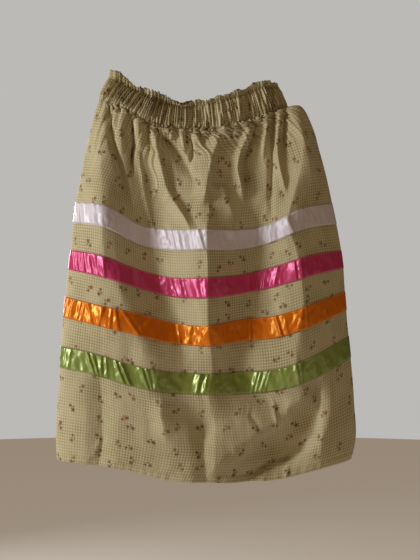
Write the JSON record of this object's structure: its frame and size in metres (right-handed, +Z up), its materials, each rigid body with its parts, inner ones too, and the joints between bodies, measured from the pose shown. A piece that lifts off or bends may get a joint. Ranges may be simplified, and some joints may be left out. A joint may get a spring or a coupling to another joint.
{
  "type": "ribbon skirt",
  "caption": "Gathered cotton skirt with an elastic waistband and satin ribbons sewn round it, hanging from two held points, open at waist and hem.",
  "frame": {"origin": "midway between the two held points on the top edge of the waistband, in the open waist", "axes": "+Z up from hem to waistband, +X across the front to the right as seen from the front, +Y from the front to the back"},
  "size_m": [0.5987, 0.1444, 0.8192],
  "materials": {
    "printed_cotton": "matt plain-weave cotton, ivory with a fine olive gingham check and small dark blossoms",
    "white_satin": "glossy white satin ribbon",
    "pink_satin": "glossy hot pink satin ribbon",
    "orange_satin": "glossy orange satin ribbon",
    "green_satin": "glossy moss green satin ribbon"
  },
  "bodies": {
    "root": {"panel_front": "printed_cotton", "panel_back": "printed_cotton", "waistband_front": "printed_cotton", "waistband_back": "printed_cotton", "ribbon_white_front": "white_satin", "ribbon_white_back": "white_satin", "ribbon_pink_front": "pink_satin", "ribbon_pink_back": "pink_satin", "ribbon_orange_front": "orange_satin", "ribbon_orange_back": "orange_satin", "ribbon_green_front": "green_satin", "ribbon_green_back": "green_satin"}
  },
  "joints": []
}
